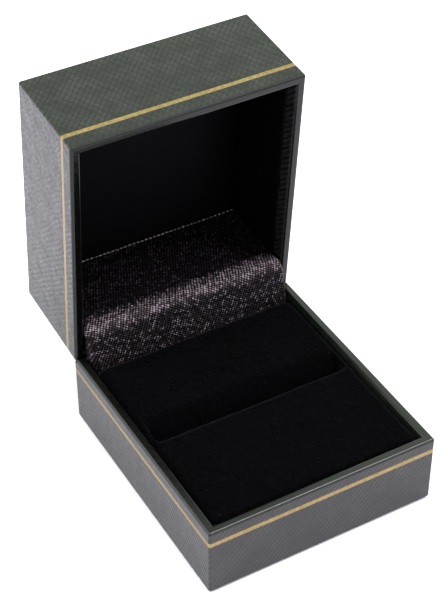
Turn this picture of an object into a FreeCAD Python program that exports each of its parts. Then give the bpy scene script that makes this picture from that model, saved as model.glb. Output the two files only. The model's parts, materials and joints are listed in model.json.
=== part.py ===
import FreeCAD, Part
import math
import os

import Sketcher

# A leatherette ring box with a spring-hinged lid, standing open as it is shown to a customer.
#
# Frame: millimetres, +Z up, +X to the right, +Y to the hinge. The origin is the centre of the
# underside. The base's pieces are modelled where they stand. The lid's pieces are modelled with
# the lid shut, and their Placement swings them open about the hinge pin.

DRIVING_SIZES = (
    # the case
    ("box_width", 48.0),
    ("box_depth", 53.4),
    ("base_height", 15.6),
    ("lid_height", 21.8),
    ("rim_gap", 0.2),
    ("open_angle", 85.0),
    ("corner_round", 0.45),
    ("rim_round", 0.5),
    ("step_down", 1.12),
    ("step_front", 0.12),
    ("edge_round", 0.45),
    ("shell_wall", 1.2),
    # the leatherette skin and its gold lines
    ("skin", 0.3),
    ("glue_gap", 0.02),
    ("base_turn_in", 4.0),
    ("lid_turn_in", 5.0),
    ("turn_under", 6.0),
    ("panel_thickness", 0.3),
    ("panel_inset", 1.2),
    ("line_width", 1.0),
    ("line_groove", 0.12),
    ("foil", 0.08),
    ("base_line_drop", 3.0),
    ("lid_line_drop", 3.8),
    # the hinge, its rivets and its spring
    ("pivot_inset", 0.9),
    ("hinge_length", 34.0),
    ("knuckle_count", 5.0),
    ("knuckle_gap", 0.2),
    ("barrel_radius", 1.05),
    ("notch_play", 0.15),
    ("leaf", 0.4),
    ("leaf_start", 1.3),
    ("leaf_reach", 8.7),
    ("pin_radius", 0.6),
    ("pin_play", 0.05),
    ("pin_overhang", 0.2),
    ("rivet_radius", 0.8),
    ("rivet_play", 0.05),
    ("rivet_spacing", 22.0),
    ("rivet_reach", 5.7),
    ("rivet_head_radius", 1.4),
    ("rivet_head", 0.45),
    ("spring_width", 16.0),
    ("spring_steel", 0.25),
    ("spring_bend", 1.2),
    # the satin cover over the hinge
    ("cover_width", 42.8),
    ("cover_satin", 0.4),
    ("cover_offset", 6.9),
    ("cover_split", 1.5),
    ("cover_front", 22.4),
    ("cover_tail", 7.0),
    ("cover_bend", 1.5),
    # the ring insert
    ("insert_width", 44.0),
    ("insert_front", 24.7),
    ("insert_rear", 22.2),
    ("insert_top", 14.8),
    ("insert_edge", 1.2),
    ("velvet", 0.6),
    ("card", 0.6),
    ("slot_width", 40.6),
    ("slot_lip", 1.0),
    ("slot_slit", 0.4),
    ("slot_roll", 6.4),
    # the lining and the pad in the lid
    ("lining", 0.4),
    ("lining_drop", 3.0),
    ("lining_end", 24.3),
    ("pad_width", 43.2),
    ("pad_depth", 48.4),
    ("pad_drop", 17.6),
    ("pad_satin", 0.4),
    ("pad_card", 0.8),
    ("pad_edge", 1.6),
)

doc = FreeCAD.newDocument("RingBox")
sheet = doc.addObject("Spreadsheet::Sheet", "Sizes")
for row, (alias, value) in enumerate(DRIVING_SIZES, start=1):
    sheet.set(f"A{row}", alias)
    sheet.set(f"B{row}", str(value))
    sheet.setAlias(f"B{row}", alias)
doc.recompute()

# places that many pieces share, as expressions on the sheet
SHELL_BACK = "(Sizes.skin + Sizes.shell_wall)"
RIM_WIDTH = "(2 * Sizes.skin + Sizes.shell_wall)"
PIVOT_Y = "(Sizes.box_depth / 2 - Sizes.pivot_inset)"
PIVOT_Z = "(Sizes.base_height + Sizes.rim_gap / 2)"
LEAF_FRONT = f"({PIVOT_Y} - Sizes.barrel_radius)"
FLOOR_TOP = "(Sizes.panel_thickness + Sizes.skin + Sizes.shell_wall)"
SLIT_REAR = "(Sizes.slot_slit - Sizes.slot_lip)"
KNUCKLE_PITCH = "(Sizes.hinge_length / Sizes.knuckle_count)"
CLEAR = "1"  # how far a cutter runs past what it cuts

# The two halves of the case. Depths in a half are measured from its rim towards its closed end:
# down in the base, up in the shut lid.
BASE = {
    "rim": "Sizes.base_height",
    "way": -1,
    "height": "(Sizes.base_height - Sizes.panel_thickness)",
    "turn_in": "Sizes.base_turn_in",
    "line": "Sizes.base_line_drop",
}
LID = {
    "rim": "(Sizes.base_height + Sizes.rim_gap)",
    "way": 1,
    "height": "Sizes.lid_height",
    "turn_in": "Sizes.lid_turn_in",
    "line": "Sizes.lid_line_drop",
}

sub_parts = []


def bind(thing, expressions):
    """Bind each named property of a document object to an expression on the sheet."""
    for place, expression in expressions.items():
        thing.setExpression(place, expression)


def width_at(inset):
    return f"(Sizes.box_width - 2 * ({inset}))"


def depth_at(inset):
    return f"(Sizes.box_depth - 2 * ({inset}))"


def span(half, start, end):
    """The lowest and highest z of what lies between two depths from a half's rim."""
    if half["way"] < 0:
        return f"({half['rim']} - ({end}))", f"({half['rim']} - ({start}))"
    return f"({half['rim']} + ({start}))", f"({half['rim']} + ({end}))"


def from_pivot(half, start, end):
    """The lowest and highest z of what lies between two distances from the hinge pin."""
    if half["way"] < 0:
        return f"({PIVOT_Z} - ({end}))", f"({PIVOT_Z} - ({start}))"
    return f"({PIVOT_Z} + ({start}))", f"({PIVOT_Z} + ({end}))"


def origin_plane(body, role):
    for feature in body.Origin.OriginFeatures:
        if feature.Role == role:
            return feature
    raise ValueError(role)


def draw_polygon(sketch, corners):
    """A closed outline. Its corners start on a circle, and their two expressions place them."""
    count = len(corners)

    def start(number):
        turn = 2 * math.pi * number / count
        return FreeCAD.Vector(10 * math.cos(turn), 10 * math.sin(turn), 0)

    for number in range(count):
        sketch.addGeometry(Part.LineSegment(start(number), start(number + 1)), False)
    for number in range(count):
        sketch.addConstraint(Sketcher.Constraint("Coincident", number, 2, (number + 1) % count, 1))
    for number, (across, up) in enumerate(corners):
        for kind, expression, value in (
            ("DistanceX", across, start(number).x),
            ("DistanceY", up, start(number).y),
        ):
            index = sketch.addConstraint(Sketcher.Constraint(kind, -1, 1, number, 1, value))
            sketch.renameConstraint(index, f"{kind}{number}")
            sketch.setExpression(f"Constraints.{kind}{number}", expression)


def outline(body, name, plane, corners, lift=None):
    """A sketched outline on one of a body's own planes, raised above it by lift."""
    sketch = body.newObject("Sketcher::SketchObject", name)
    sketch.AttachmentSupport = [(origin_plane(body, plane), "")]
    sketch.MapMode = "FlatFace"
    draw_polygon(sketch, corners)
    if lift:
        bind(sketch, {"AttachmentOffset.Base.z": lift})
    return sketch


def padded_outline(name, plane, corners, length, lift=None):
    """A body with one padded polygon: upward from the XY plane, or centred on the YZ plane."""
    body = doc.addObject("PartDesign::Body", name)
    sketch = outline(body, name + "_outline", plane, corners, lift)
    pad = body.newObject("PartDesign::Pad", name + "_pad")
    pad.Profile = sketch
    pad.SideType = "Symmetric" if plane == "YZ_Plane" else "One side"
    bind(pad, {"Length": length})
    doc.recompute()
    return body


def fillet(body, radius, chosen):
    """Round the edges of a body's last feature that a test picks."""
    last = body.Tip
    picked = [f"Edge{n}" for n, edge in enumerate(last.Shape.Edges, start=1) if chosen(edge)]
    rounding = body.newObject("PartDesign::Fillet", f"{last.Name}_round")
    rounding.Base = (last, picked)
    bind(rounding, {"Radius": radius})
    doc.recompute()


def upright(edge):
    return edge.BoundBox.XLength < 0.001 and edge.BoundBox.YLength < 0.001


def at_level(z):
    return lambda edge: abs(edge.BoundBox.ZMin - z) + abs(edge.BoundBox.ZMax - z) < 0.001


def along_x_at(y, z):
    """Picks the edge that runs along X through a point of the YZ plane."""
    return lambda edge: (
        edge.BoundBox.YLength + edge.BoundBox.ZLength < 0.001
        and abs(edge.BoundBox.YMin - y) + abs(edge.BoundBox.ZMin - z) < 0.001
    )


def block(name, width, depth, levels, corner=None, below=None, above=None, middle="0"):
    """A block centred on X, with rounded upright corners and rounded lower or upper edges."""
    low, high = levels
    left, right = f"-({width}) / 2", f"({width}) / 2"
    front, rear = f"({middle}) - ({depth}) / 2", f"({middle}) + ({depth}) / 2"
    corners = ((left, front), (right, front), (right, rear), (left, rear))
    body = padded_outline(name, "XY_Plane", corners, f"({high}) - ({low})", lift=low)
    if corner:
        fillet(body, corner, upright)
    if above:
        fillet(body, above, at_level(body.Shape.BoundBox.ZMax))
    if below:
        fillet(body, below, at_level(body.Shape.BoundBox.ZMin))
    return body


def box(name, low, size):
    """A Part box from its lowest corner and its size along X, Y and Z."""
    thing = doc.addObject("Part::Box", name)
    bind(thing, {f"Placement.Base.{axis}": place for axis, place in zip("xyz", low)})
    bind(thing, dict(zip(("Length", "Width", "Height"), size)))
    return thing


def rod(name, start, radius, length, axis):
    """A Part cylinder that runs along X or Y from the middle of its first end."""
    thing = doc.addObject("Part::Cylinder", name)
    turn = FreeCAD.Rotation(FreeCAD.Vector(0, 0, 1), axis)
    thing.Placement = FreeCAD.Placement(FreeCAD.Vector(), turn)
    bind(thing, {f"Placement.Base.{axis_name}": place for axis_name, place in zip("xyz", start)})
    bind(thing, {"Radius": radius, "Height": length})
    return thing


def fuse(name, things):
    thing = doc.addObject("Part::MultiFuse", name)
    thing.Shapes = things
    return thing


def cut(name, base, tools):
    thing = doc.addObject("Part::Cut", name)
    thing.Base = base
    thing.Tool = tools[0] if len(tools) == 1 else fuse(name + "_cutters", tools)
    return thing


def sub_part(thing, label, in_lid=False):
    """Name a finished piece, and swing it open about the hinge pin if it belongs to the lid."""
    thing.Label = label
    thing.Placement = FreeCAD.Placement()
    if in_lid:
        pivot = FreeCAD.Vector(0, 0, 0)
        pivot.y = sheet.box_depth / 2 - sheet.pivot_inset
        pivot.z = sheet.base_height + sheet.rim_gap / 2
        turn = FreeCAD.Rotation(FreeCAD.Vector(1, 0, 0), -sheet.open_angle)
        thing.Placement = FreeCAD.Placement(FreeCAD.Vector(), turn, pivot)
    sub_parts.append(thing)


def corner_at(inset):
    return f"Sizes.corner_round - ({inset})"


def case_block(name, half, inset, start, end, corner=None):
    """A block inside a half of the case, at an even distance from its outer faces."""
    return block(name, width_at(inset), depth_at(inset), span(half, start, end), corner)


def bucket(name, half, inset, wall, start, end, mouth_depth, rim_round):
    """A half-case: a block with a mouth sunk into its rim, and the rim rounded on both sides."""
    body = case_block(name, half, inset, start, end, corner_at(inset))
    wide, deep = f"{width_at(wall)} / 2", f"{depth_at(wall)} / 2"
    corners = ((f"-{wide}", f"-{deep}"), (wide, f"-{deep}"), (wide, deep), (f"-{wide}", deep))
    whole = body.Shape.Volume
    level = span(half, start, start)[0]
    sketch = outline(body, name + "_mouth_outline", "XY_Plane", corners, level)
    mouth = body.newObject("PartDesign::Pocket", name + "_mouth")
    mouth.Profile = sketch
    mouth.Reversed = half is LID
    bind(mouth, {"Length": f"({mouth_depth}) - ({start})"})
    doc.recompute()
    if body.Shape.Volume > 0.9 * whole:
        raise RuntimeError(f"{name}: the mouth is not cut")
    bounds = body.Shape.BoundBox
    fillet(body, rim_round, at_level(bounds.ZMax if half is BASE else bounds.ZMin))
    return body


def rear_step(name, inset, front):
    """The step along the rear of the base's rim, where the lid's rear edge swings down."""
    down = f"(Sizes.step_down + {inset})"
    return box(
        name,
        ("-Sizes.box_width", front, f"{PIVOT_Z} - {down}"),
        ("2 * Sizes.box_width", f"2 * {RIM_WIDTH}", f"{down} + {CLEAR}"),
    )


def hinge_notch(name, half):
    """The cut in a rear wall that leaves room for the hinge's barrel."""
    low, high = from_pivot(half, f"-({CLEAR})", "Sizes.barrel_radius + Sizes.notch_play")
    long = "(Sizes.hinge_length + 2 * (Sizes.pin_overhang + Sizes.notch_play))"
    front = f"(Sizes.box_depth / 2 - {RIM_WIDTH} - {CLEAR})"
    deep = f"({RIM_WIDTH} + 2 * ({CLEAR}))"
    return box(name, (f"-{long} / 2", front, low), (long, deep, f"{high} - {low}"))


def rivet_rods(name, half, start, radius, length):
    """Two rods through a leaf and its rear wall, one on each side of the spring."""
    low, high = from_pivot(half, "Sizes.rivet_reach", "Sizes.rivet_reach")
    rods = []
    for number, side in enumerate((-1, 1)):
        place = (f"{side} * Sizes.rivet_spacing / 2", start, low)
        toward_rear = FreeCAD.Vector(0, 1, 0)
        rods.append(rod(f"{name}_{number}", place, radius, length, toward_rear))
    return rods


def make_shell(name, half, label, in_lid):
    """The stiff moulded half of the case under the leatherette."""
    inset = "(Sizes.skin + Sizes.glue_gap)"
    end = f"({half['height']} - {inset})"
    floor = f"({half['height']} - {SHELL_BACK})"
    rim_round = f"Sizes.rim_round - {inset}"
    case = bucket(name + "_case", half, inset, SHELL_BACK, inset, end, floor, rim_round)
    notch = hinge_notch(name + "_notch", half)
    hole = "Sizes.rivet_radius + Sizes.rivet_play"
    holes = rivet_rods(name + "_hole", half, LEAF_FRONT, hole, f"2 * {RIM_WIDTH}")
    tools = [notch, *holes]
    if half is BASE:
        tools.append(rear_step(name + "_step", inset, f"{PIVOT_Y} - {RIM_WIDTH}"))
    sub_part(cut(name, case, tools), label, in_lid)


def make_wrap(name, half, label, in_lid):
    """The leatherette: outer skin, turned in over the rim, with a tooled groove for the line."""
    height, turn_in = half["height"], half["turn_in"]
    whole = bucket(
        name + "_whole", half, "0", RIM_WIDTH, "0", height, turn_in, "Sizes.rim_round"
    )
    bounds = whole.Shape.BoundBox
    fillet(whole, "Sizes.edge_round", at_level(bounds.ZMin if half is BASE else bounds.ZMax))

    # what the skin is wrapped round: the walls down to the end of the turn-in, then all of it
    skin = "Sizes.skin"
    rim_round = f"Sizes.rim_round - {skin}"
    walls = bucket(name + "_walls", half, skin, SHELL_BACK, skin, turn_in, turn_in, rim_round)
    if half is BASE:
        behind = f"{PIVOT_Y} - {RIM_WIDTH}"
        walls = cut(name + "_core", walls, [rear_step(name + "_core_step", skin, behind)])
    end = f"({height} - {skin})"
    rest = case_block(name + "_rest", half, skin, turn_in, end, corner_at(skin))
    tools = [
        walls,
        rest,
        line_ring(name + "_groove", half, "Sizes.line_groove", f"-({CLEAR})"),
        hinge_notch(name + "_notch", half),
    ]
    if half is BASE:
        tools.append(rear_step(name + "_step", "0", f"{PIVOT_Y} - Sizes.step_front"))
        past = f"({height} + {CLEAR})"
        inset = f"({RIM_WIDTH} + Sizes.turn_under)"
        tools.append(case_block(name + "_under", half, inset, f"({end} - {CLEAR})", past))

    # the turned-in band stops short at the leaf of the hinge
    low, high = span(half, f"-({CLEAR})", f"{turn_in} + {CLEAR}")
    long = "(Sizes.hinge_length + 2 * (Sizes.pin_overhang + Sizes.notch_play))"
    front = f"(Sizes.box_depth / 2 - {RIM_WIDTH} - Sizes.glue_gap)"
    leaf_room = box(
        name + "_leaf_room",
        (f"-{long} / 2", front, low),
        (long, "Sizes.skin + 2 * Sizes.glue_gap", f"{high} - {low}"),
    )
    sub_part(cut(name, whole, [*tools, leaf_room]), label, in_lid)


def line_ring(name, half, depth, outer_inset):
    """A flat ring round a half, between two insets, at the level of its gold line."""
    start = f"({half['line']} - Sizes.line_width / 2)"
    end = f"({half['line']} + Sizes.line_width / 2)"
    outer = case_block(name + "_outer", half, outer_inset, start, end, corner_at(outer_inset))
    past_start, past_end = f"({start} - {CLEAR})", f"({end} + {CLEAR})"
    inner = case_block(name + "_inner", half, depth, past_start, past_end, corner_at(depth))
    return cut(name, outer, [inner])


def make_gold_line(name, half, label, in_lid):
    """The foil line, lying in the groove of the leatherette."""
    depth = "(Sizes.line_groove - Sizes.glue_gap)"
    ring = line_ring(name, half, depth, f"({depth} - Sizes.foil)")
    sub_part(ring, label, in_lid)


def make_leaf(name, half, label, in_lid):
    """One steel leaf with its curled knuckles, riveted to the inside of a rear wall."""
    low, high = from_pivot(half, "Sizes.leaf_start", "Sizes.leaf_reach")
    plate = box(
        name + "_plate",
        ("-Sizes.hinge_length / 2", LEAF_FRONT, low),
        ("Sizes.hinge_length", "Sizes.leaf", f"{high} - {low}"),
    )
    pieces = [plate]
    first = 0 if half is BASE else 1
    low, high = from_pivot(half, "0", f"Sizes.leaf_start + Sizes.leaf")
    for number in range(first, int(sheet.knuckle_count), 2):
        left = f"({number} * {KNUCKLE_PITCH} - Sizes.hinge_length / 2 + Sizes.knuckle_gap / 2)"
        long = f"({KNUCKLE_PITCH} - Sizes.knuckle_gap)"
        curl = rod(
            f"{name}_curl_{number}",
            (left, PIVOT_Y, PIVOT_Z),
            "Sizes.barrel_radius",
            long,
            FreeCAD.Vector(1, 0, 0),
        )
        neck = box(
            f"{name}_neck_{number}",
            (left, LEAF_FRONT, low),
            (long, "Sizes.leaf", f"{high} - {low}"),
        )
        pieces += [curl, neck]
    bore = rod(
        name + "_bore",
        ("-Sizes.hinge_length", PIVOT_Y, PIVOT_Z),
        "Sizes.pin_radius + Sizes.pin_play",
        "2 * Sizes.hinge_length",
        FreeCAD.Vector(1, 0, 0),
    )
    hole = "Sizes.rivet_radius + Sizes.rivet_play"
    holes = rivet_rods(name + "_hole", half, f"{LEAF_FRONT} - {CLEAR}", hole, RIM_WIDTH)
    leaf = cut(name, fuse(name + "_solid", pieces), [bore, *holes])
    sub_part(leaf, label, in_lid)


def make_rivets(name, half, label, in_lid):
    """Two round-headed rivets, heads on the leaf and tails flush with the shell's outside."""
    gap = "Sizes.glue_gap"
    tail = f"(Sizes.box_depth / 2 - Sizes.skin - 2 * {gap} - {LEAF_FRONT} + {gap})"
    start = f"({LEAF_FRONT} - {gap})"
    shanks = rivet_rods(name + "_shank", half, start, "Sizes.rivet_radius", tail)
    head_start = f"({start} - Sizes.rivet_head)"
    heads = rivet_rods(
        name + "_head", half, head_start, "Sizes.rivet_head_radius", "Sizes.rivet_head"
    )
    sub_part(fuse(name, [*shanks, *heads]), label, in_lid)


def make_pin():
    long = "(Sizes.hinge_length + 2 * Sizes.pin_overhang)"
    along = FreeCAD.Vector(1, 0, 0)
    pin = rod("Pin", (f"-{long} / 2", PIVOT_Y, PIVOT_Z), "Sizes.pin_radius", long, along)
    pin.Label = "hinge_pin"
    sub_parts.append(pin)


def make_bottom_panel():
    levels = ("0", "Sizes.panel_thickness - Sizes.glue_gap")
    inset = "Sizes.panel_inset"
    panel = block("Panel", width_at(inset), depth_at(inset), levels, "Sizes.corner_round")
    sub_part(panel, "base_bottom_panel")


def turned_open(across, up):
    """Where a point of the shut lid, given from the hinge pin, stands in the open lid."""
    sine, cosine = "sin(Sizes.open_angle)", "cos(Sizes.open_angle)"
    y = f"({PIVOT_Y} + ({across}) * {cosine} + ({up}) * {sine})"
    z = f"({PIVOT_Z} - ({across}) * {sine} + ({up}) * {cosine})"
    return y, z


def round_profile_corner(body, number, radius, corners_shape):
    """Round the edge of a padded YZ outline that stands at one of its corners."""
    point = corners_shape[number]
    fillet(body, radius, along_x_at(point.y, point.z))


def profile_corners(body):
    """The corners of a body's YZ outline, as drawn."""
    sketch = body.Group[0]
    lines = sketch.Geometry
    return [FreeCAD.Vector(0, line.StartPoint.x, line.StartPoint.y) for line in lines]


def make_hinge_cover():
    """The satin over the spring hinge: a stretch that bends, and one that lies in the lid."""
    satin = "Sizes.cover_satin"
    # lid part: parallel to the lid's rear wall, from the ridge to the pad on the lid's top
    low, high = f"({PIVOT_Z} + Sizes.cover_split)", f"({LID['rim']} + Sizes.pad_drop - 0.1)"
    middle = f"{PIVOT_Y} - Sizes.cover_offset + {satin} / 2"
    lid_satin = block("CoverLid", "Sizes.cover_width", satin, (low, high), middle=middle)
    # bending part: up from behind the insert, leaning back to the ridge, then into the lid
    ridge_y, ridge_z = turned_open("-Sizes.cover_offset", "-0.65")
    under_y, under_z = turned_open(f"{satin} - Sizes.cover_offset", "-0.15")
    end_y, end_z = turned_open("-Sizes.cover_offset", "Sizes.cover_split - 0.1")
    end_under_y, end_under_z = turned_open(
        f"{satin} - Sizes.cover_offset", "Sizes.cover_split - 0.1"
    )
    front, behind = "Sizes.cover_front", f"(Sizes.cover_front + {satin})"
    knee = "(Sizes.insert_top - 1.6)"
    corners = (
        (front, "Sizes.cover_tail"),
        (front, knee),
        (ridge_y, ridge_z),
        (end_y, end_z),
        (end_under_y, end_under_z),
        (under_y, under_z),
        (behind, knee),
        (behind, "Sizes.cover_tail"),
    )
    bending = padded_outline("CoverBend", "YZ_Plane", corners, "Sizes.cover_width")
    points = profile_corners(bending)
    round_profile_corner(bending, 2, "Sizes.cover_bend", points)
    round_profile_corner(bending, 5, f"Sizes.cover_bend - {satin}", points)
    sub_part(bending, "hinge_cover_satin")
    sub_part(lid_satin, "hinge_cover_satin_lid", in_lid=True)


def make_spring():
    """The bowed strip that snaps the lid: one foot on each leaf, its bend under the ridge."""
    steel = "Sizes.spring_steel"
    front = f"({LEAF_FRONT} - 0.05 - {steel})"
    behind = f"({LEAF_FRONT} - 0.05)"
    foot = f"({PIVOT_Z} - 6.9)"
    top = f"({PIVOT_Z} + 4.7)"
    inner_top = f"({PIVOT_Z} + 4.35)"
    lid_foot_y, lid_foot_z = turned_open("-(Sizes.barrel_radius + 0.12)", "7.4")
    corners = (
        (front, foot),
        (front, top),
        (lid_foot_y, f"({lid_foot_z} + {steel} + 0.03)"),
        (lid_foot_y, lid_foot_z),
        (behind, inner_top),
        (behind, foot),
    )
    spring = padded_outline("Spring", "YZ_Plane", corners, "Sizes.spring_width")
    points = profile_corners(spring)
    round_profile_corner(spring, 1, "Sizes.spring_bend", points)
    round_profile_corner(spring, 4, f"Sizes.spring_bend - {steel}", points)
    sub_part(spring, "snap_spring")


def make_insert():
    """The ring insert: card, two foam blocks, and the velvet that is tucked into the slot."""
    velvet = "Sizes.velvet"
    bottom = f"({FLOOR_TOP} + Sizes.glue_gap)"
    card_top = f"({bottom} + Sizes.card)"
    foam_top = f"(Sizes.insert_top - {velvet})"
    foam_wide = f"(Sizes.insert_width - 2 * {velvet})"
    whole_deep = "(Sizes.insert_front + Sizes.insert_rear)"
    whole_middle = "((Sizes.insert_rear - Sizes.insert_front) / 2)"

    def slab(name, wide, front, rear, levels, **rounding):
        deep = f"({rear}) - ({front})"
        middle = f"(({front}) + ({rear})) / 2"
        return block(name, wide, deep, levels, middle=middle, **rounding)

    def roll_slot_edge(body, radius):
        """Roll the front upper edge of a rear block down into the slot."""
        bounds = body.Shape.BoundBox
        fillet(body, radius, along_x_at(bounds.YMin, bounds.ZMax))

    card = block(
        "Card", foam_wide, f"{whole_deep} - 2 * {velvet}", (bottom, card_top), middle=whole_middle
    )
    sub_part(card, "insert_card")

    front_foam_ends = (f"{velvet} - Sizes.insert_front", f"-(Sizes.slot_lip + {velvet})")
    rear_foam_ends = (f"{SLIT_REAR} + {velvet}", f"Sizes.insert_rear - {velvet}")
    foam_levels = (card_top, foam_top)
    for name, ends, label in (
        ("FoamFront", front_foam_ends, "insert_foam_front"),
        ("FoamRear", rear_foam_ends, "insert_foam_rear"),
    ):
        foam = slab(name, foam_wide, *ends, foam_levels)
        if name == "FoamRear":
            roll_slot_edge(foam, f"Sizes.slot_roll - {velvet}")
        sub_part(foam, label)

    # the velvet is its outer form with the foam, the card and the slot taken out
    outer_levels = (bottom, "Sizes.insert_top")
    edge = "Sizes.insert_edge"
    outer = block(
        "VelvetOuter",
        "Sizes.insert_width",
        whole_deep,
        outer_levels,
        corner=edge,
        above=f"{edge} * 0.8",
        middle=whole_middle,
    )
    slot = slab(
        "VelvetSlot",
        "Sizes.slot_width",
        "-Sizes.slot_lip",
        f"{SLIT_REAR} + Sizes.slot_roll",
        (f"{card_top} + {velvet}", f"Sizes.insert_top + {CLEAR}"),
    )
    roll = slab(
        "VelvetRoll",
        "Sizes.slot_width",
        SLIT_REAR,
        f"{SLIT_REAR} + 2 * Sizes.slot_roll",
        (bottom, "Sizes.insert_top"),
    )
    roll_slot_edge(roll, "Sizes.slot_roll")
    open_slot = cut("VelvetOpening", slot, [roll])
    fillings = []
    for name, ends in (("VelvetFront", front_foam_ends), ("VelvetRear", rear_foam_ends)):
        filling = slab(name, foam_wide, *ends, (card_top, foam_top))
        if name == "VelvetRear":
            roll_slot_edge(filling, f"Sizes.slot_roll - {velvet}")
        fillings.append(filling)
    card_room = block(
        "VelvetCardRoom",
        foam_wide,
        f"{whole_deep} - 2 * {velvet}",
        (f"{bottom} - {CLEAR}", card_top),
        middle=whole_middle,
    )
    sub_part(cut("Velvet", outer, [open_slot, card_room, *fillings]), "insert_velvet")


def make_lining():
    """The lining strip inside the lid's walls, folded at its two front corners."""
    end = f"({LID['height']} - {SHELL_BACK} - 2 * Sizes.glue_gap)"
    outer_inset = f"({RIM_WIDTH} + Sizes.glue_gap)"
    inner_inset = f"({outer_inset} + Sizes.lining)"
    outer = case_block("LiningOuter", LID, outer_inset, "Sizes.lining_drop", end)
    past = f"{end} + {CLEAR}"
    inner = case_block("LiningInner", LID, inner_inset, f"Sizes.lining_drop - {CLEAR}", past)
    low, high = span(LID, "0", past)
    rear = box(
        "LiningRear",
        ("-Sizes.box_width / 2", "Sizes.lining_end", low),
        ("Sizes.box_width", "Sizes.box_depth", f"{high} - {low}"),
    )
    sub_part(cut("Lining", outer, [inner, rear]), "lid_side_lining", in_lid=True)


def make_lid_pad():
    """The puffed pad on the lid's top: card, wadding, and satin turned over their edges."""
    gap = "Sizes.glue_gap"
    top = f"({LID['height']} - {SHELL_BACK} - {gap})"
    card_start = f"({top} - Sizes.pad_card)"
    satin = "Sizes.pad_satin"
    inner_wide, inner_deep = f"(Sizes.pad_width - 2 * {satin})", f"(Sizes.pad_depth - 2 * {satin})"
    card = block("PadCard", inner_wide, inner_deep, span(LID, card_start, top))
    sub_part(card, "lid_pad_card", in_lid=True)

    stuffing = span(LID, f"Sizes.pad_drop + {satin}", card_start)
    soft_edge = f"Sizes.pad_edge - {satin}"
    wadding = block("Wadding", inner_wide, inner_deep, stuffing, below=soft_edge)
    sub_part(wadding, "lid_pad_wadding", in_lid=True)

    outer = block(
        "PadOuter",
        "Sizes.pad_width",
        "Sizes.pad_depth",
        span(LID, "Sizes.pad_drop", top),
        below="Sizes.pad_edge",
    )
    soft_room = block("PadSoftRoom", inner_wide, inner_deep, stuffing, below=soft_edge)
    card_room = block(
        "PadCardRoom", inner_wide, inner_deep, span(LID, card_start, f"{top} + {CLEAR}")
    )
    sub_part(cut("PadSatin", outer, [soft_room, card_room]), "lid_pad_satin", in_lid=True)


for case_name, half, in_lid in (("base", BASE, False), ("lid", LID, True)):
    title = case_name.capitalize()
    make_shell(title + "Shell", half, case_name + "_shell", in_lid)
    make_wrap(title + "Wrap", half, case_name + "_wrap", in_lid)
    make_gold_line(title + "Line", half, case_name + "_gold_line", in_lid)
    make_leaf(title + "Leaf", half, "hinge_leaf_" + case_name, in_lid)
    make_rivets(title + "Rivets", half, "hinge_rivets_" + case_name, in_lid)
make_pin()
make_bottom_panel()
make_spring()
make_hinge_cover()
make_insert()
make_lining()
make_lid_pad()
doc.recompute()

for thing in doc.Objects:
    if "Invalid" in thing.State or "Error" in thing.State:
        raise RuntimeError(f"{thing.Name} failed: {thing.State}")
for thing in sub_parts:
    if thing.Shape.isNull() or not thing.Shape.isValid() or not thing.Shape.Solids:
        raise RuntimeError(f"{thing.Label} has no valid solid")

os.makedirs("parts", exist_ok=True)
for thing in sub_parts:
    thing.Shape.exportStep(f"parts/{thing.Label}.step")
    bounds = thing.Shape.BoundBox
    print(
        f"{thing.Label}: {len(thing.Shape.Solids)} solid(s), {thing.Shape.Volume:.2f} mm3,"
        f" x {bounds.XMin:.2f}..{bounds.XMax:.2f}"
        f" y {bounds.YMin:.2f}..{bounds.YMax:.2f}"
        f" z {bounds.ZMin:.2f}..{bounds.ZMax:.2f}"
    )
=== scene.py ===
import json
import math

import bmesh
import bpy
import numpy as np
from mathutils import Matrix, Vector, noise


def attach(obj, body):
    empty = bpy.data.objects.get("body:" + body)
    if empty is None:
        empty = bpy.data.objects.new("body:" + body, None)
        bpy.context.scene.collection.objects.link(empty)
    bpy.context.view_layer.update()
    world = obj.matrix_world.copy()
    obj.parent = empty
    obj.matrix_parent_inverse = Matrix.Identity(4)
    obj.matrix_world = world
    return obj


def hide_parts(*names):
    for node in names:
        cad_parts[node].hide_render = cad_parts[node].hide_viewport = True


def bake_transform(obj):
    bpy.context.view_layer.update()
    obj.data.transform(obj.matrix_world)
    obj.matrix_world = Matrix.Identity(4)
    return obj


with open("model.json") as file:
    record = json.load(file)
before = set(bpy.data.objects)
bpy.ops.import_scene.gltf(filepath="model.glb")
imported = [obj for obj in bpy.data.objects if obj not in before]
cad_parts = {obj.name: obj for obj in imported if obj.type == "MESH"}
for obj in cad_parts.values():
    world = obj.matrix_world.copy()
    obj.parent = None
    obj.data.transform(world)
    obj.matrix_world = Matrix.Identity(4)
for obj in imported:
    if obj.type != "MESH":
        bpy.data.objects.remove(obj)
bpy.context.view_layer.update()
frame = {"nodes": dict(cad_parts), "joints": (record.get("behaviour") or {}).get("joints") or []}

# A black leatherette ring box, standing open. Soft pieces are built in millimetres and scaled to
# metres at the end. The lid's soft pieces are built with the lid shut, then swung open with it.

MM = 0.001
PER_M = 1000.0

HINGE = frame["joints"][0]
PIVOT = Vector(HINGE["pos_m"]) * PER_M
OPEN_ANGLE = math.radians(HINGE["range_deg"][1])
OPENED = (
    Matrix.Translation(PIVOT)
    @ Matrix.Rotation(-OPEN_ANGLE, 4, "X")
    @ Matrix.Translation(-PIVOT)
)
SHUT = OPENED.inverted()
UNTURNED = Matrix.Identity(4)


def span_of(node, turned=UNTURNED):
    """A node's lowest and highest corners in millimetres, as it stands or with the lid shut."""
    points = [turned @ (v.co * PER_M) for v in frame["nodes"][node].data.vertices]
    low = Vector(min(p[axis] for p in points) for axis in range(3))
    high = Vector(max(p[axis] for p in points) for axis in range(3))
    return low, high


# ---------------------------------------------------------------------------------------------
# materials


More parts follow.
